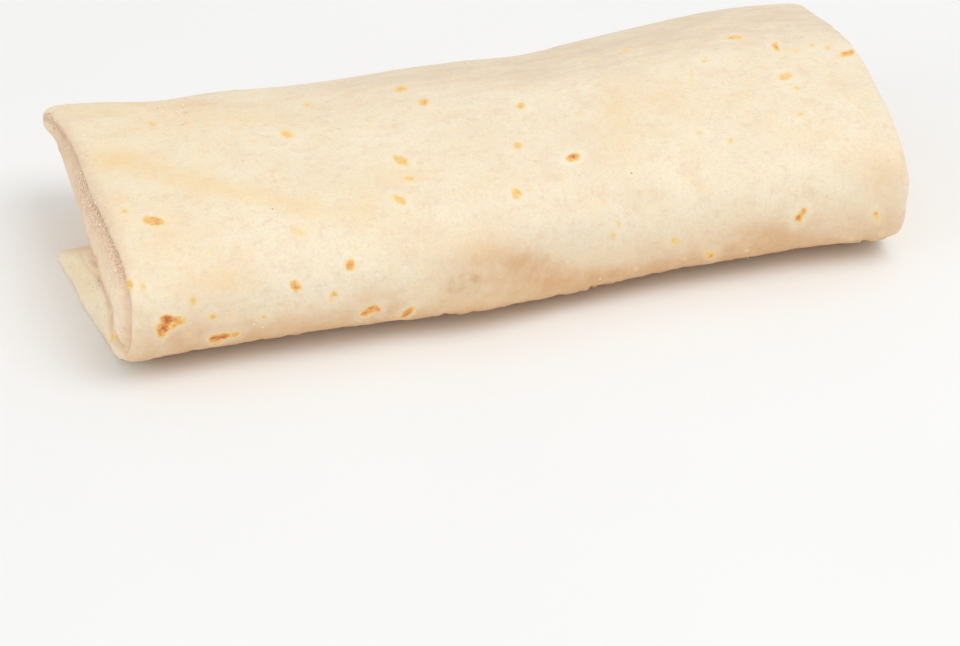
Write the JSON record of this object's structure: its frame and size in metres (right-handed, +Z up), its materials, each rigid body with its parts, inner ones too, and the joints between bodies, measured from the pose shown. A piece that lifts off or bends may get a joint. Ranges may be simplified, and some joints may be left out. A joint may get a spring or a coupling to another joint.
{
  "type": "burrito",
  "caption": "Flat rolled flour-tortilla burrito, frozen, with ends folded in and a free edge underneath, to be heated and eaten by hand.",
  "frame": {"origin": "bottom centre of the whole, on the surface it rests on", "axes": "+X along the roll, away from the end whose fold shows most, +Y to the back, +Z up"},
  "size_m": [0.1462, 0.0656, 0.0282],
  "materials": {
    "tortilla": "matt floury tortilla, lightly toasted and frosty"
  },
  "bodies": {
    "root": {"burrito": "tortilla"}
  },
  "joints": []
}
